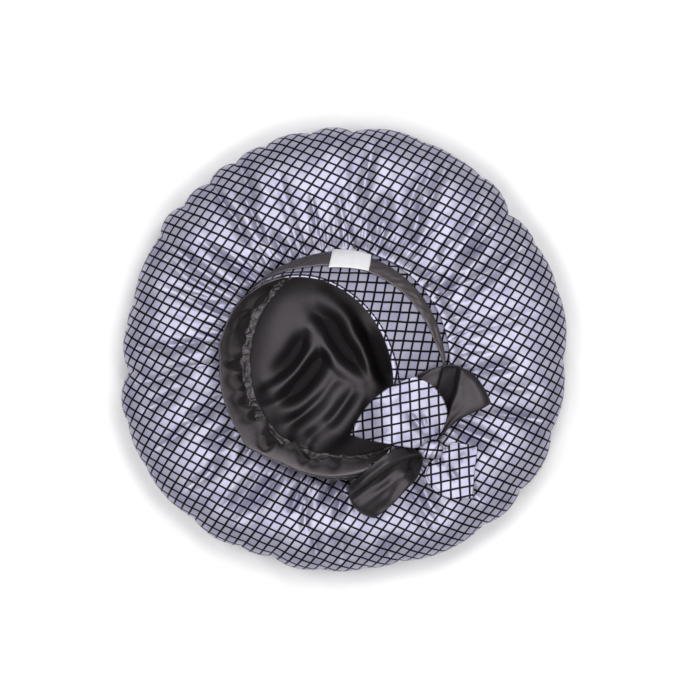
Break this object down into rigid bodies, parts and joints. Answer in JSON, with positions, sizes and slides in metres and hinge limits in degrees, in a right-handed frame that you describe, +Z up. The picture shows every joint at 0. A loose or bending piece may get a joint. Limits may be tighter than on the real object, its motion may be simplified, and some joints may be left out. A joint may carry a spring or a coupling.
{
  "type": "bonnet",
  "caption": "Soft lined sleep bonnet lying mouth up: a wide round crown gathered into a leaning stand-up band, with a tie ribbon, a blank label and a flared bow.",
  "frame": {"origin": "the middle of the crown's flat stretch, on the floor that the crown rests on", "axes": "+Z goes up out of the mouth; +Y goes towards the side of the band that carries the label; the band leans towards -X"},
  "size_m": [0.3504, 0.3497, 0.0886],
  "materials": {
    "checked_satin": "satin, lilac with a thin near-black check",
    "black_satin": "satin",
    "woven_label": "matte, blank"
  },
  "bodies": {
    "root": {"crown": "checked_satin", "crown_lining": "black_satin", "band_outer": "checked_satin", "band_facing": "black_satin", "tie_ribbon": "black_satin", "band_label": "woven_label", "bow_knot": "checked_satin", "bow_loop_upper": "black_satin", "bow_loop_lower": "black_satin", "bow_tail_outer": "checked_satin", "bow_tail_over_mouth": "checked_satin"}
  },
  "joints": []
}
